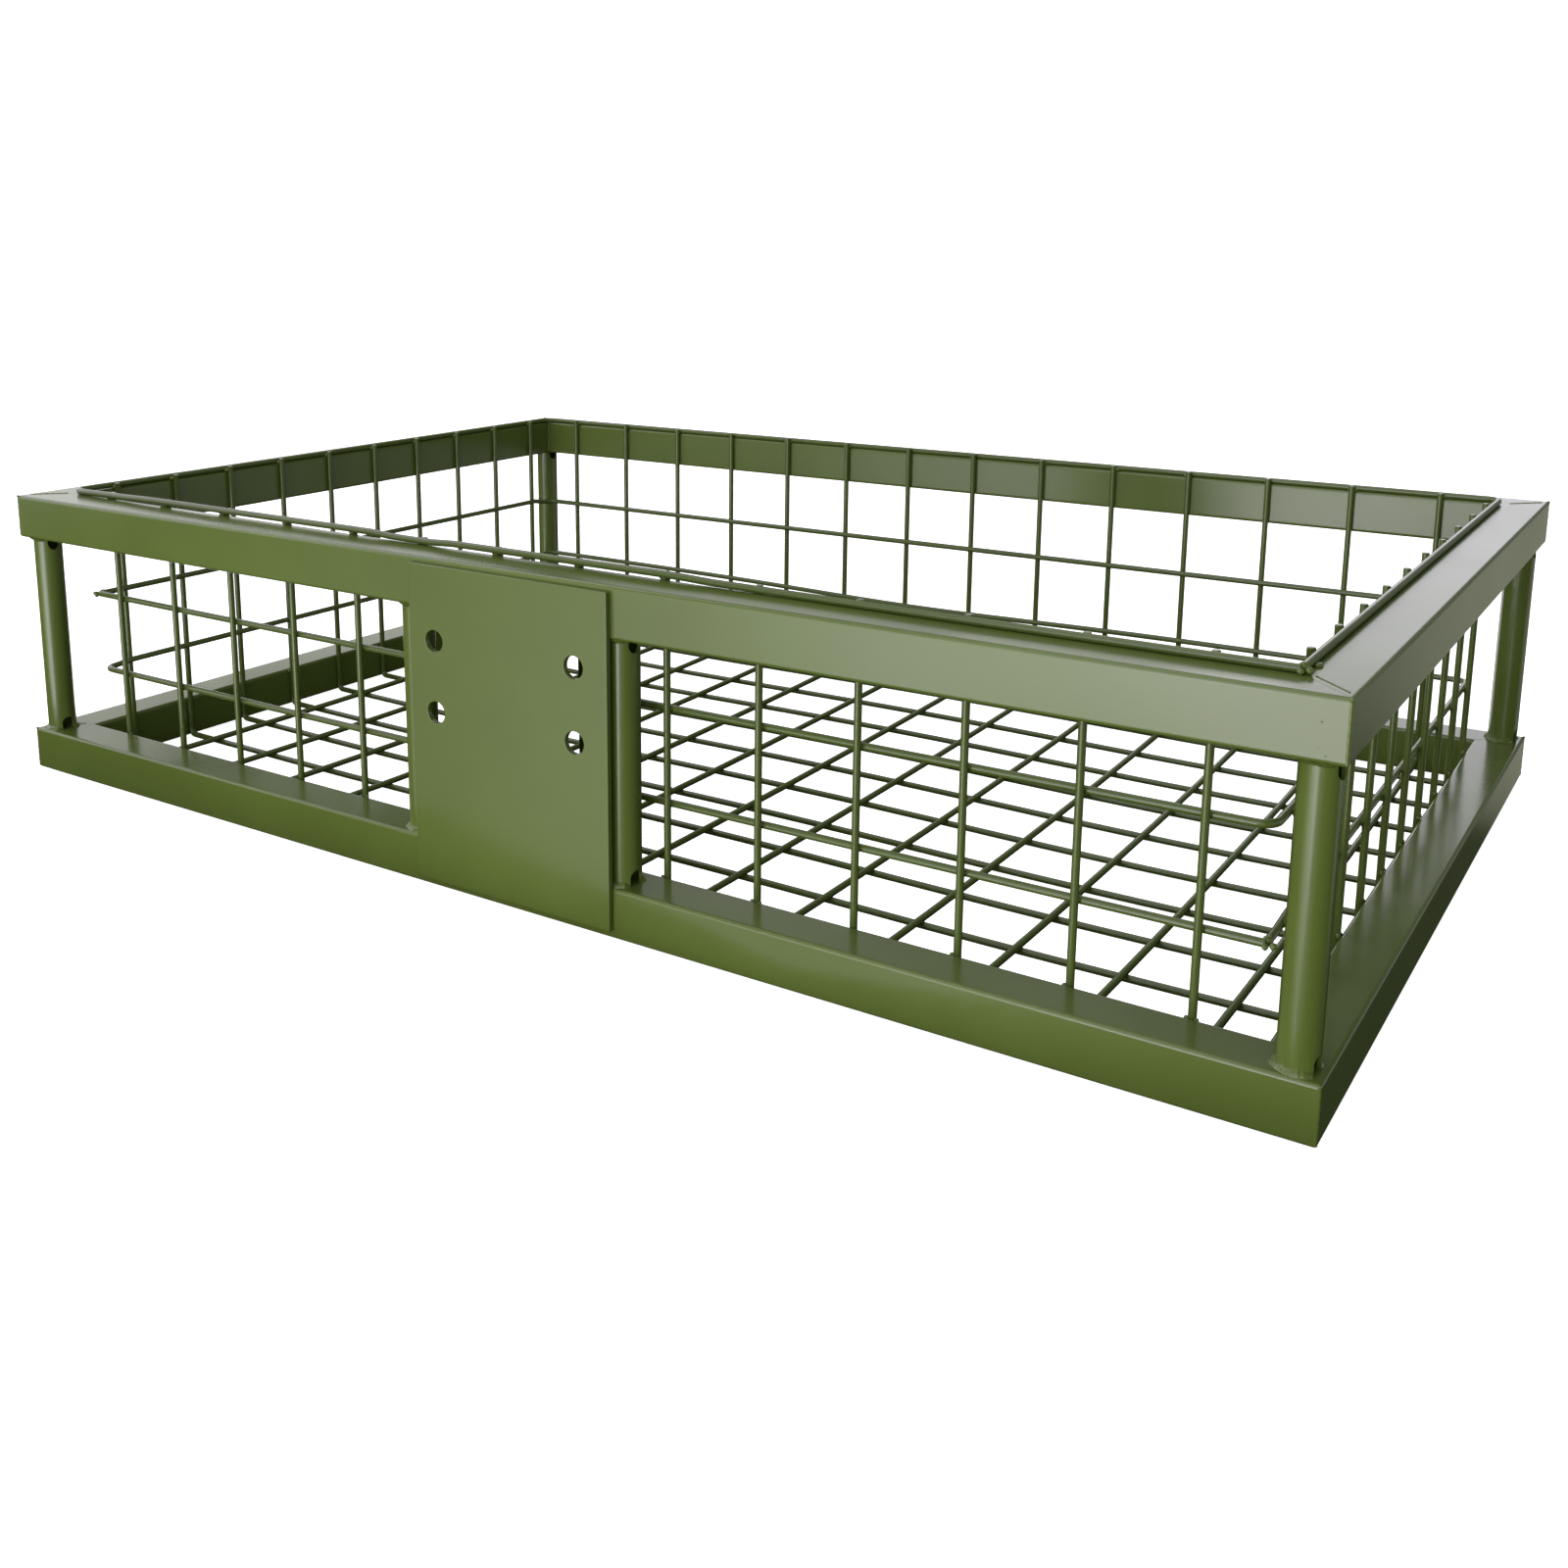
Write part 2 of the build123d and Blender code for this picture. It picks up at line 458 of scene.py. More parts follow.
def make_post_weld(node, end, upward):
    """A fillet bead around one end of a post, rippled, open where the vent is."""
    centre = post_centre(node)
    z = TUBE if upward else UPPER_BASE
    away = 1 if upward else -1
    bm = bmesh.new()
    phase = rng.uniform(0, 6)
    rings = []
    for step in range(WELD_STEPS + 1):
        t = step / WELD_STEPS
        angle = VENT_TURN + WELD_OPENING + t * (2 * math.pi - 2 * WELD_OPENING)
        taper = math.sin(min(1.0, min(t, 1 - t) / WELD_TAPER) * math.pi / 2)
        scale = MM * (WELD_END_SCALE + (1 - WELD_END_SCALE) * taper)
        ripple = WELD_RIPPLE * (0.5 + 0.5 * math.cos(angle * WELD_RIPPLES + phase))
        wander = math.sin(angle * 3 + phase) * WELD_WANDER
        wander += math.sin(angle * 7 + 2 * phase) * WELD_WANDER_FINE
        leg = (WELD_LEG + ripple + wander) * scale
        height = (WELD_HEIGHT + ripple - wander) * scale
        out = Vector((math.cos(angle), math.sin(angle), 0))
        ring = []
        for k in range(WELD_PROFILE_STEPS + 1):
            s = k / WELD_PROFILE_STEPS
            bulge = 1 + WELD_BULGE * math.sin(math.pi * s)
            r = POST_R - WELD_OVERLAP + (leg + WELD_OVERLAP) * (1 - s) * bulge
            h = (height + 0.2 * MM) * s * bulge - 0.1 * MM
            ring.append(bm.verts.new(centre + out * r + Z_AXIS * (z + away * h)))
        root_z = z - away * 0.1 * MM
        ring.append(bm.verts.new(centre + out * (POST_R - 2 * WELD_OVERLAP) + Z_AXIS * root_z))
        rings.append(ring)
    skin(bm, rings)
    finish_piece(bm, f"{node}_weld_{end}")


for node in POST_NODES:
    make_post(node)
    make_post_weld(node, "foot", True)
    make_post_weld(node, "head", False)


# --- mounting plate -----------------------------------------------------------------------------
HOLE_SIDES = 48
PLATE_ARC_STEPS = 5


def plate_loops(low, high):
    """Closed (x, z) loops of the plate: its outline, then its four bolt holes."""
    bolts = next(m for m in frame["record"]["mounts"] if m["name"] == "plate_bolts")
    spacing_x = bolts["dims"]["spacing_x_mm"] * MM
    spacing_z = bolts["dims"]["spacing_y_mm"] * MM
    radius = bolts["dims"]["hole_r_mm"] * MM
    left, right = low.x + PLATE_CORNER, high.x - PLATE_CORNER
    bottom, top = low.z + PLATE_CORNER, high.z - PLATE_CORNER
    outline = []
    for cx, cz, start in ((right, top, 0), (left, top, 90), (left, bottom, 180), (right, bottom, 270)):
        for step in range(PLATE_ARC_STEPS + 1):
            angle = math.radians(start + 90 * step / PLATE_ARC_STEPS)
            outline.append((cx + PLATE_CORNER * math.cos(angle), cz + PLATE_CORNER * math.sin(angle)))
    loops = [outline]
    for sx, sz in CORNERS:
        cx = bolts["pos_m"][0] + sx * spacing_x / 2
        cz = bolts["pos_m"][2] + sz * spacing_z / 2
        circle = []
        for k in range(HOLE_SIDES):
            angle = -2 * math.pi * k / HOLE_SIDES
            circle.append((cx + radius * math.cos(angle), cz + radius * math.sin(angle)))
        loops.append(circle)
    return loops


def make_plate(node):
    """Flat plate with bevelled edges and four round holes."""
    low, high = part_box(node)
    curve = bpy.data.curves.new(node + "_outline", "CURVE")
    curve.dimensions = "2D"
    curve.fill_mode = "BOTH"
    curve.resolution_u = 1
    curve.extrude = (high.y - low.y) / 2 - PLATE_EDGE
    curve.bevel_depth = PLATE_EDGE
    curve.bevel_resolution = 3
    curve.offset = -PLATE_EDGE
    for loop in plate_loops(low, high):
        spline = curve.splines.new("POLY")
        spline.points.add(len(loop) - 1)
        for point, (x, z) in zip(spline.points, loop):
            point.co = (x, z, 0, 1)
        spline.use_cyclic_u = True
    outline = bpy.data.objects.new("outline", curve)
    bpy.context.scene.collection.objects.link(outline)
    bpy.context.view_layer.update()
    mesh = bpy.data.meshes.new_from_object(
        outline.evaluated_get(bpy.context.evaluated_depsgraph_get())
    )
    bpy.data.objects.remove(outline)
    stand = Matrix.Translation((0, (low.y + high.y) / 2, 0)) @ Matrix.Rotation(math.radians(90), 4, "X")
    mesh.transform(stand)
    bm = bmesh.new()
    bm.from_mesh(mesh)
    bmesh.ops.remove_doubles(bm, verts=bm.verts, dist=0.01 * MM)
    piece = finish_piece(bm, node + "_sheet", node)
    weighted = piece.modifiers.new("flat_shading", "WEIGHTED_NORMAL")
    weighted.keep_sharp = True


make_plate("mounting_plate")


# --- mesh wires ---------------------------------------------------------------------------------
CROSS_RISE = 2 * WIRE_R - WIRE_SINK     # from a long wire's axis up to a cross wire's
CREST_X = 25 * MM                       # the floor's crest, between its two bellies
CREST_HEIGHT = 0.9 * MM
CREST_BOW = 0.042                       # how fast the crest rises away from CREST_Y, per metre
CREST_Y = -50 * MM
BELLY_DEPTH = 1.9 * MM
BELLY_Y = 20 * MM
BELLY_HALF_Y = 300 * MM
LEFT_BELLY, RIGHT_BELLY = 370 * MM, 320 * MM


def floor_height(x, y):
    """Centre height of the long wires: the floor hangs in two shallow bellies, left and right.

    It is held up along the walls and stays higher along a crest a little right of the middle.
    """
    reach = RIGHT_BELLY if x > CREST_X else LEFT_BELLY
    belly = math.sin(0.8 * math.pi * abs(x - CREST_X) / reach) ** 2
    deep = BELLY_DEPTH * (1 - ((y - BELLY_Y) / BELLY_HALF_Y) ** 2)
    crest = CREST_HEIGHT + CREST_BOW * (y - CREST_Y) ** 2
    return crest - deep * belly


def cut_end(x, y):
    """Top end of an upright, cut off at a slightly uneven height."""
    return Vector((x, y, WIRE_TOP - rng.uniform(0, WIRE_CUT_SPREAD)))


def make_cross_wire(node):
    """Down the front wall, across the floor and up the rear wall."""
    x = middle(node).x
    front, rear = MID_Y - UPRIGHT_Y, MID_Y + UPRIGHT_Y
    corners = [
        cut_end(x, front),
        Vector((x, front, floor_height(x, front) + CROSS_RISE)),
        Vector((x, rear, floor_height(x, rear) + CROSS_RISE)),
        cut_end(x, rear),
    ]
    path = rounded_path(corners, WIRE_BEND)
    for point in path:
        if front + WIRE_BEND < point.y < rear - WIRE_BEND:
            point.z = floor_height(x, point.y) + CROSS_RISE
    make_wire(node, path)


def make_long_wire(node):
    """Down the left wall, along the floor and up the right wall."""
    y = middle(node).y
    corners = [
        cut_end(-UPRIGHT_X, y),
        Vector((-UPRIGHT_X, y, floor_height(-UPRIGHT_X, y))),
        Vector((UPRIGHT_X, y, floor_height(UPRIGHT_X, y))),
        cut_end(UPRIGHT_X, y),
    ]
    path = rounded_path(corners, WIRE_BEND)
    for point in path:
        if abs(point.x) < UPRIGHT_X - WIRE_BEND:
            point.z = floor_height(point.x, y)
    make_wire(node, path)


def bell(value, centre, width):
    """A soft bell of height 1."""
    return math.exp(-((value - centre) / width) ** 2)


def near_wall(point):
    """-1 in the tenth next to the front wall, 1 in the tenth next to the rear wall, 0 between."""
    offset = point.y - MID_Y
    if abs(offset) <= UPRIGHT_Y * 0.9:
        return 0
    return 1 if offset > 0 else -1


def lower_ring_lift(point):
    """The lower ring dips in the middle of the rear wall and rides up towards the sides."""
    wall = near_wall(point)
    if wall > 0:
        return (0.9 - 3.0 * bell(point.x, -15 * MM, 120 * MM)) * MM
    if wall < 0:
        return (-1.0 + 0.5 * abs(point.x) / UPRIGHT_X) * MM
    return 0.6 * MM


def upper_ring_lift(point):
    """The upper ring hangs a little to the left along the rear wall."""
    wall = near_wall(point)
    if wall > 0:
        return (-0.7 + 0.9 * point.x / UPRIGHT_X) * MM
    if wall < 0:
        return 0.8 * MM * (abs(point.x) / UPRIGHT_X) ** 2
    return 0.8 * MM


# Along the front the rim stands a little off the tube between its tacks; places and heights in mm.
RIM_LIFT = (
    (-357, 0.2), (-310, 0.5), (-285, 1.0), (-112, 1.1), (-90, 0.1), (-66, 0.1),
    (-52, 0.9), (78, 1.0), (104, 0.2), (150, 0.0),
)


def rim_lift(point):
    """Lift of the rim wire above the upper frame at a point on it."""
    if near_wall(point) >= 0:
        return 0.0
    x = point.x / MM
    for (x0, h0), (x1, h1) in zip(RIM_LIFT, RIM_LIFT[1:]):
        if x <= x1:
            t = max(0.0, (x - x0) / (x1 - x0))
            return (h0 + (h1 - h0) * t * t * (3 - 2 * t)) * MM
    return 0.0


# node, front corner where it starts and ends (-1 is left, 1 is right), lift along it
RINGS = (
    ("ring_wire_lower", 1, lower_ring_lift),
    ("ring_wire_upper", -1, upper_ring_lift),
    ("rim_wire", 1, rim_lift),
)


def make_ring(node, joint_side, lift):
    """A ring that starts and ends at one front corner."""
    low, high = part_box(node)
    z = (low.z + high.z) / 2
    half_x = min(-low.x, high.x) - WIRE_R
    near, far = low.y + WIRE_R, high.y - WIRE_R
    joint = joint_side * half_x
    corners = [
        Vector((joint, near, z)),
        Vector((-joint, near, z)),
        Vector((-joint, far, z)),
        Vector((joint, far, z)),
        Vector((joint, near + 1.2 * WIRE_R, z)),
    ]
    path = rounded_path(corners, RING_BEND)
    for point in path:
        point.z += lift(point)
    make_wire(node, path)


for node in CROSS_NODES:
    make_cross_wire(node)
for node in LONG_NODES:
    make_long_wire(node)
for node, joint_side, lift in RINGS:
    make_ring(node, joint_side, lift)


# --- welds of the mesh ----------------------------------------------------------------------------
def add_blob(bm, centre, size, rough=0.12, segments=10, rings=6):
    """A lump of weld metal: an ellipsoid with half sizes given, made slightly uneven."""
    made = bmesh.ops.create_uvsphere(bm, u_segments=segments, v_segments=rings, radius=1.0)
    phase = rng.uniform(0, 6)
    for vert in made["verts"]:
        x, y, z = vert.co
        swell = 1 + rough * math.sin(3.1 * x + 2.3 * y + phase) * math.cos(2.7 * z + phase)
        vert.co = centre + Vector((x * size[0], y * size[1], z * size[2])) * swell


def wall_uprights():
    """Every upright as (point on its axis at z 0, direction out of the basket)."""
    places = []
    for node in CROSS_NODES:
        x = middle(node).x
        places.append((Vector((x, MID_Y - UPRIGHT_Y, 0)), -Y_AXIS))
        places.append((Vector((x, MID_Y + UPRIGHT_Y, 0)), Y_AXIS))
    for node in LONG_NODES:
        y = middle(node).y
        places.append((Vector((-UPRIGHT_X, y, 0)), -X_AXIS))
        places.append((Vector((UPRIGHT_X, y, 0)), X_AXIS))
    return places


def oriented(out, along, across, tall):
    """Half sizes turned so that the first runs along the wall and the second through it."""
    return (across, along, tall) if abs(out.x) > 0.5 else (along, across, tall)


def make_rim_tacks():
    """A tack where each upright meets the rim and the upper frame."""
    bm = bmesh.new()
    for place, out in wall_uprights():
        reach = rng.uniform(1.6, 3.6) * MM
        slip = out.cross(Z_AXIS) * rng.uniform(-1.0, 1.0) * MM
        centre = place + out * (WIRE_R + 0.1 * MM) + slip + Z_AXIS * (TOP + 0.7 * MM)
        add_blob(bm, centre, oriented(out, reach, 1.7 * MM, 1.5 * MM))
    finish_piece(bm, "rim_tacks", smooth_angle=BLOB_SMOOTH_ANGLE)


def make_foot_tacks():
    """A tack on most sides of the uprights at the top inner edge of the lower frame."""
    missing = 0.35
    bm = bmesh.new()
    for place, out in wall_uprights():
        for side in (-1, 1):
            if rng.random() < missing:
                continue
            along = out.cross(Z_AXIS) * side * (WIRE_R + 0.2 * MM)
            centre = place + along + out * (WIRE_R * 0.6) + Z_AXIS * (TUBE - rng.uniform(0.4, 1.4) * MM)
            add_blob(bm, centre, oriented(out, 1.1 * MM, 1.0 * MM, rng.uniform(1.0, 1.7) * MM))
    finish_piece(bm, "foot_tacks", smooth_angle=BLOB_SMOOTH_ANGLE)


def make_nuggets():
    """Squeezed-out metal at the resistance welds of the floor and of the rings."""
    across, flat_wide, flat = 1.8 * MM, 1.75 * MM, 0.55 * MM
    bm = bmesh.new()
    for cross in CROSS_NODES:
        for long in LONG_NODES:
            x, y = middle(cross).x, middle(long).y
            z = floor_height(x, y) + WIRE_R - WIRE_SINK / 2
            add_blob(bm, Vector((x, y, z)), (flat_wide, flat_wide, flat), segments=8, rings=5)
    for node, _, lift in RINGS[:2]:
        level = middle(node).z
        for place, out in wall_uprights():
            centre = place - out * (WIRE_R - 0.1 * MM)
            centre.z = level + lift(centre)
            add_blob(bm, centre, oriented(out, across, flat, across), segments=8, rings=5)
    # the nuggets get the wire coat, darkened as painted shade
    finish_piece(bm, "mesh_nuggets", smooth_angle=BLOB_SMOOTH_ANGLE, coat=SHADED_WIRE_COAT)


# Lumps of a ring's joint in mm: out along the front, into the basket, up, half size.
JOINT_LUMPS = ((0.2, 2.7, 0.2, 2.1), (3.0, -0.6, -0.3, 1.5), (0.2, -2.0, -0.6, 1.4))


def make_ring_joints():
    """Weld lumps that close the rings and the rim at their front corners."""
    bm = bmesh.new()
    for node, side, lift in RINGS:
        low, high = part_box(node)
        corner = Vector((side * (min(-low.x, high.x) - WIRE_R), low.y + WIRE_R, (low.z + high.z) / 2))
        corner.z += lift(corner)
        for dx, dy, dz, size in JOINT_LUMPS:
            centre = corner + Vector((side * dx, dy, dz)) * MM
            add_blob(bm, centre, (size * MM, size * 1.1 * MM, size * 0.95 * MM))
        if node == "rim_wire":
            side_tack = corner + Vector((2.6, 14.0, -1.3)) * MM
            add_blob(bm, side_tack, (1.7 * MM, 2.8 * MM, 0.9 * MM))
    finish_piece(bm, "ring_joints", smooth_angle=BLOB_SMOOTH_ANGLE)


# --- welds of the frames ----------------------------------------------------------------------------
def make_corner_beads(level, base):
    """Small weld beads down the inner corners of a frame."""
    margin = 2.2 * MM
    drops = 15
    bm = bmesh.new()
    for sx, sy in CORNERS:
        corner = Vector((sx * (HALF_X - TUBE), MID_Y + sy * (HALF_Y - TUBE), 0))
        for k in range(drops):
            z = base + margin + (TUBE - 2 * margin) * k / (drops - 1)
            size = rng.uniform(1.15, 1.45) * MM
            add_blob(bm, corner + Z_AXIS * z, (size, size, 1.3 * MM), rough=0.06)
    finish_piece(bm, f"corner_beads_{level}", smooth_angle=BLOB_SMOOTH_ANGLE)


def make_corner_seams(level, base):
    """The weld down each outer corner, ground back to a slightly wavy line with a lump on top."""
    inset = 0.72 * MM
    lump_inset = 0.6 * MM
    margin = 1.0 * MM
    steps = 40
    bm = bmesh.new()
    for sx, sy in CORNERS:
        phase = rng.uniform(0, 6)
        points, radii = [], []
        for k in range(steps + 1):
            z = base + margin + (TUBE - 2 * margin) * k / steps
            points.append(Vector((sx * (HALF_X - inset), MID_Y + sy * (HALF_Y - inset), z)))
            wave = math.sin(k * 0.9 + phase) + 0.6 * math.sin(k * 2.3 + 2 * phase)
            radii.append((0.84 + 0.05 * wave) * MM)
        add_tube(bm, points, radii, 20)
        lump = Vector((
            sx * (HALF_X - lump_inset),
            MID_Y + sy * (HALF_Y - lump_inset),
            base + TUBE - lump_inset,
        ))
        add_blob(bm, lump, (1.0 * MM, 1.0 * MM, 0.8 * MM))
    finish_piece(bm, f"corner_seams_{level}", smooth_angle=SEAM_SMOOTH_ANGLE)


def make_top_seams(level, z):
    """The ground weld across the top of a frame, a little behind the diagonal of each corner."""
    behind = 4.5 * MM
    start, length = 3.0, 15.0       # along the diagonal, in mm per axis
    steps = 30
    bm = bmesh.new()
    for sx, sy in CORNERS:
        corner = Vector((sx * HALF_X, MID_Y + sy * (HALF_Y - behind), z))
        way = Vector((-sx, -sy, 0))
        phase = rng.uniform(0, 6)
        points, radii = [], []
        for k in range(steps + 1):
            run = (start + length * k / steps) * MM
            wave = math.sin(k * 1.3 + phase) + 0.5 * math.sin(k * 3.1 + phase)
            points.append(corner + way * run + Z_AXIS * (0.04 + 0.02 * wave) * MM)
            radii.append((0.26 + 0.02 * wave) * MM)
        add_tube(bm, points, radii, 12)
    finish_piece(bm, f"top_seams_{level}", smooth_angle=SEAM_SMOOTH_ANGLE)


def make_spatter():
    """A few specks of spatter left near the ground outer corners."""
    specks = 4
    bm = bmesh.new()
    for sx, sy in CORNERS:
        for base in (0.0, UPPER_BASE):
            for _ in range(specks):
                z = base + rng.uniform(3, 22) * MM
                away = rng.uniform(2, 11) * MM
                size = rng.uniform(0.18, 0.42) * MM
                if rng.random() < 0.5:
                    place = Vector((sx * (HALF_X - away), MID_Y + sy * HALF_Y, z))
                    flat = (size, size * 0.6, size)
                else:
                    place = Vector((sx * HALF_X, MID_Y + sy * (HALF_Y - away), z))
                    flat = (size * 0.6, size, size)
                add_blob(bm, place, flat, segments=7, rings=5)
    finish_piece(bm, "weld_spatter", smooth_angle=BLOB_SMOOTH_ANGLE)


make_rim_tacks()
make_foot_tacks()
make_nuggets()
make_ring_joints()
make_corner_beads("lower", 0.0)
make_corner_beads("upper", UPPER_BASE)
make_corner_seams("lower", 0.0)
make_corner_seams("upper", UPPER_BASE)
make_top_seams("lower", TUBE)
make_top_seams("upper", TOP)
make_spatter()


# --- stage --------------------------------------------------------------------------------------
FLOOR_Z = -3.2 * MM
FLOOR_RADII = (0.6, 1.2, 2.0, 3.0, 4.0)
COVE_RADIUS = 1.5
COVE_STEPS = 12
WALL_HEIGHT = 6.0
STAGE_SIDES = 64
FLOOR_GLOW = 0.95               # the floor lights itself, so that it stays an even pale ground


def make_stage():
    """A plain pale floor that curves up into a wall all around."""
    edge = FLOOR_RADII[-1]
    profile = [(radius, 0.0) for radius in FLOOR_RADII]
    for step in range(1, COVE_STEPS + 1):
        angle = math.radians(90 * step / COVE_STEPS)
        profile.append((edge + COVE_RADIUS * math.sin(angle), COVE_RADIUS * (1 - math.cos(angle))))
    profile.append((edge + COVE_RADIUS, WALL_HEIGHT))

    bm = bmesh.new()
    centre = bm.verts.new((0, 0, FLOOR_Z))
    rings = []
    for radius, height in profile:
        ring = []
        for k in range(STAGE_SIDES):
            angle = 2 * math.pi * k / STAGE_SIDES
            place = (radius * math.cos(angle), radius * math.sin(angle), FLOOR_Z + height)
            ring.append(bm.verts.new(place))
        rings.append(ring)
    for k in range(STAGE_SIDES):
        bm.faces.new((centre, rings[0][k], rings[0][(k + 1) % STAGE_SIDES]))
    for inner, outer in zip(rings, rings[1:]):
        for k in range(STAGE_SIDES):
            n = (k + 1) % STAGE_SIDES
            bm.faces.new((inner[k], outer[k], outer[n], inner[n]))
    floor = new_object(bm, "floor")
    floor.data.shade_smooth()

    material = bpy.data.materials.new("pale_floor")
    material.use_nodes = True
    shader = material.node_tree.nodes["Principled BSDF"]
    shader.inputs["Base Color"].default_value = (0.9, 0.9, 0.9, 1)
    shader.inputs["Roughness"].default_value = 0.9
    shader.inputs["Emission Color"].default_value = (1, 1, 1, 1)
    shader.inputs["Emission Strength"].default_value = FLOOR_GLOW
    floor.data.materials.append(material)
    floor.visible_diffuse = False
    floor.visible_glossy = False
    floor.visible_shadow = False


# --- light --------------------------------------------------------------------------------------
CARD_Z = -4.5 * MM
LIGHT_DISTANCE = 3.0
WORLD_STRENGTH = 0.02
NEUTRAL, COOL = (1.0, 1.0, 1.0), (1.05, 0.95, 1.25)

# name, azimuth, elevation, size, radiance, colour; azimuth 0 is in front and 90 to the right
SOFTBOXES = (
    ("front_low", 0, -8, 1.3, 4.3, (1.02, 0.95, 1.08)),
    ("front_low_left", -12, -15, 1.3, 1.8, NEUTRAL),
    ("front_left", -18, -4, 1.3, 2.0, NEUTRAL),
    ("front_left_low", -24, -15, 1.3, 0.85, NEUTRAL),
    ("left_front_low", -36, -15, 1.3, 0.6, NEUTRAL),
    ("front_right_low", 12, -15, 1.3, 0.5, NEUTRAL),
    ("right_front_low", 25, -5, 1.5, 0.4, NEUTRAL),
    ("left_60", -60, 12, 1.9, 1.35, COOL),
    ("left_30", -32, 12, 1.9, 0.8, NEUTRAL),
    ("front", 0, 12, 1.9, 1.65, (1.0, 0.97, 1.15)),
    ("right_30", 30, 12, 1.9, 1.15, NEUTRAL),
    ("right_60", 60, 12, 1.9, 0.55, NEUTRAL),
    ("right_90", 90, 12, 1.9, 0.65, NEUTRAL),
    ("right_120", 120, 12, 1.9, 0.55, NEUTRAL),
    ("right_low", 120, -8, 1.5, 0.55, NEUTRAL),
    ("right_rear_low", 145, -8, 1.2, 0.4, NEUTRAL),
    ("rear_low", 170, -10, 1.0, 0.36, (1.0, 1.02, 0.78)),
    ("rear_right", 160, 10, 1.3, 0.2, NEUTRAL),
    ("rear", 183, 11, 1.1, 1.42, (1.0, 0.97, 1.07)),
    ("rear_left_20", 195, 15, 0.8, 1.15, NEUTRAL),
    ("rear_left_35", 211, 15, 1.0, 0.55, NEUTRAL),
    ("rear_left_50", 230, 9, 0.9, 1.1, NEUTRAL),
    ("rear_left_65", 247, 8, 1.1, 1.2, NEUTRAL),
    ("rear_high", 180, 26, 1.5, 0.22, NEUTRAL),
    ("rear_left_high", 210, 28, 1.5, 0.33, NEUTRAL),
    ("high_left", -90, 35, 3.0, 1.55, COOL),
    ("high_front", 0, 35, 2.5, 1.3, (1.05, 0.97, 1.4)),
    ("top_left", -60, 60, 2.2, 0.95, COOL),
    ("overhead", 0, 90, 2.0, 1.5, NEUTRAL),
    ("rear_fill", 200, 58, 1.6, 0.9, NEUTRAL),
    ("rear_left_low", 225, -20, 2.0, 2.2, NEUTRAL),
)


def softbox(name, azimuth, elevation, size, radiance, color):
    """A disc of light that faces the basket from afar."""
    data = bpy.data.lights.new(name, "AREA")
    data.shape = "DISK"
    data.size = size
    area = math.pi * (size / 2) ** 2
    data.energy = radiance * math.pi * area
    data.color = color
    light = bpy.data.objects.new(name, data)
    a, e = math.radians(azimuth), math.radians(elevation)
    way = Vector((math.sin(a) * math.cos(e), -math.cos(a) * math.cos(e), math.sin(e)))
    target = Vector((0, MID_Y, TOP / 2))
    light.location = target + way * LIGHT_DISTANCE
    light.rotation_euler = (-way).to_track_quat("-Z", "Y").to_euler()
    bpy.context.scene.collection.objects.link(light)


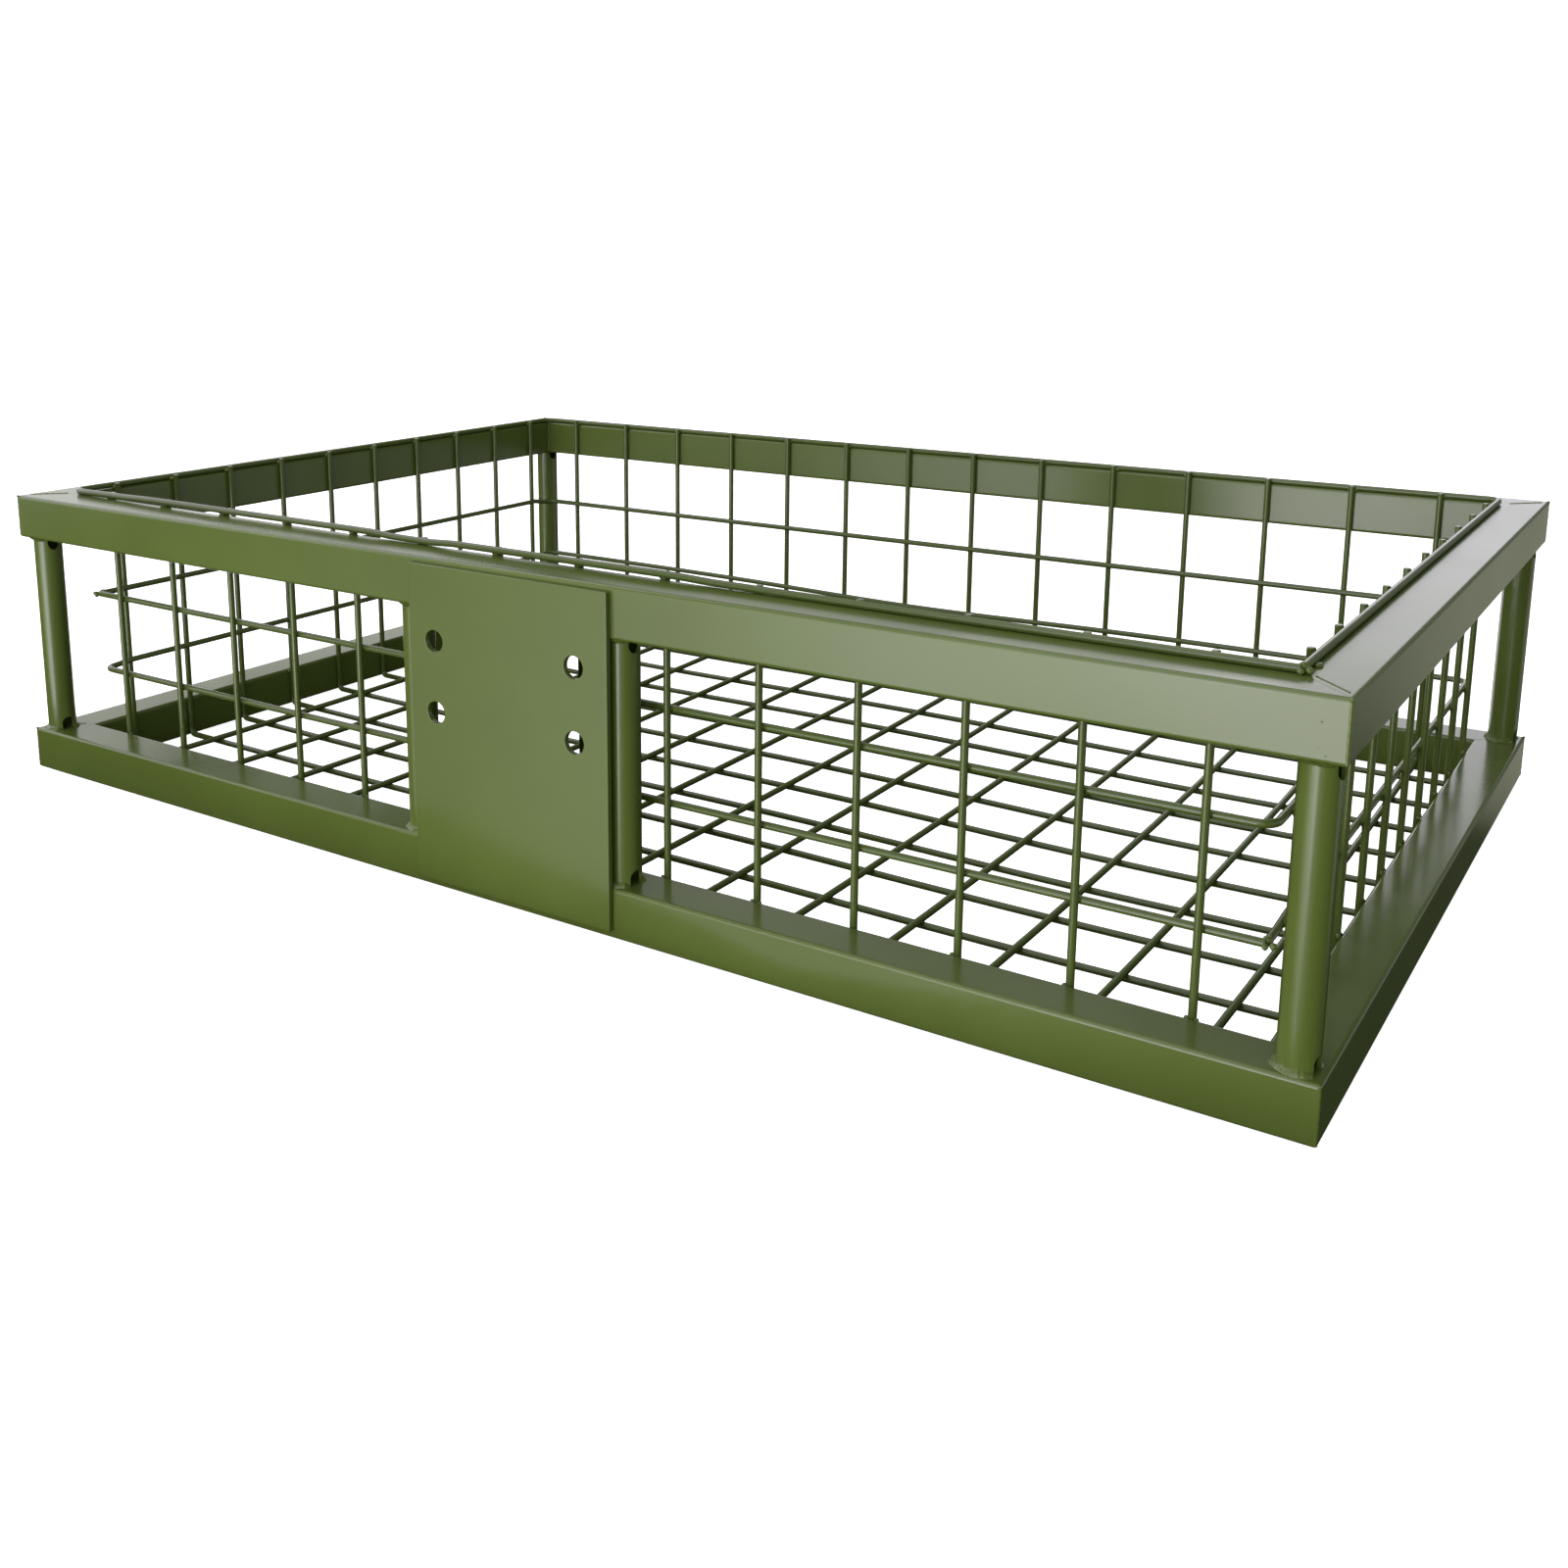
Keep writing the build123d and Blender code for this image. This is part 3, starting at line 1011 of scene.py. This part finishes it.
def make_cards():
    """Black cards just under the basket, unseen by the camera: one under the mesh, one in front.

    They keep the low lights from shining up through the mesh and onto the lower rail.
    """
    material = bpy.data.materials.new("black_card")
    material.use_nodes = True
    shader = material.node_tree.nodes["Principled BSDF"]
    shader.inputs["Base Color"].default_value = (0.0, 0.0, 0.0, 1)
    shader.inputs["Specular IOR Level"].default_value = 0.0
    inner_x, near, far = HALF_X - TUBE, MID_Y - HALF_Y + TUBE, MID_Y + HALF_Y - TUBE
    below = ((-inner_x, near), (inner_x, near), (inner_x, far), (-inner_x, far))
    # The front card is narrowest right of the middle, where the photo's low light is brightest.
    front, wide = MID_Y - HALF_Y, 0.8
    notched = (
        (-wide, front - 0.25), (0.14, front - 0.03), (wide, front - 0.2), (wide, front), (-wide, front),
    )
    for name, outline in (("card_below", below), ("card_front", notched)):
        bm = bmesh.new()
        bm.faces.new([bm.verts.new((x, y, CARD_Z)) for x, y in outline])
        card = new_object(bm, name)
        card.data.materials.append(material)
        card.visible_camera = False


def make_world():
    """A faint even white all around, so that nothing falls to pure black."""
    world = bpy.data.worlds.new("studio")
    world.use_nodes = True
    background = world.node_tree.nodes["Background"]
    background.inputs["Color"].default_value = (1, 1, 1, 1)
    background.inputs["Strength"].default_value = WORLD_STRENGTH
    bpy.context.scene.world = world


# --- camera -------------------------------------------------------------------------------------
CAMERA_PLACE = Vector((0.49321, -0.80763, 0.32564))
CAMERA_AZIMUTH = math.radians(33.858)
CAMERA_ELEVATION = math.radians(11.520)
CAMERA_ROLL = math.radians(0.072)
LENS = 37.260
LENS_SHIFT = (0.04876, -0.14386)


def make_camera():
    """The photograph's viewpoint: low, in front and to the right."""
    view = Vector((
        -math.sin(CAMERA_AZIMUTH) * math.cos(CAMERA_ELEVATION),
        math.cos(CAMERA_AZIMUTH) * math.cos(CAMERA_ELEVATION),
        -math.sin(CAMERA_ELEVATION),
    ))
    level_right = view.cross(Z_AXIS).normalized()
    level_up = level_right.cross(view)
    right = level_right * math.cos(CAMERA_ROLL) + level_up * math.sin(CAMERA_ROLL)
    up = level_up * math.cos(CAMERA_ROLL) - level_right * math.sin(CAMERA_ROLL)
    turn = Matrix((right, up, -view)).transposed()
    data = bpy.data.cameras.new("camera")
    data.sensor_width = 36.0
    data.lens = LENS
    data.shift_x, data.shift_y = LENS_SHIFT
    data.clip_start = 0.01
    camera = bpy.data.objects.new("camera", data)
    camera.matrix_world = Matrix.Translation(CAMERA_PLACE) @ turn.to_4x4()
    bpy.context.scene.collection.objects.link(camera)
    bpy.context.scene.camera = camera


make_stage()
make_cards()
make_world()
for name, azimuth, elevation, size, radiance, color in SOFTBOXES:
    softbox(name, azimuth, elevation, size, radiance, color)
make_camera()
bpy.context.scene.view_settings.view_transform = "Standard"
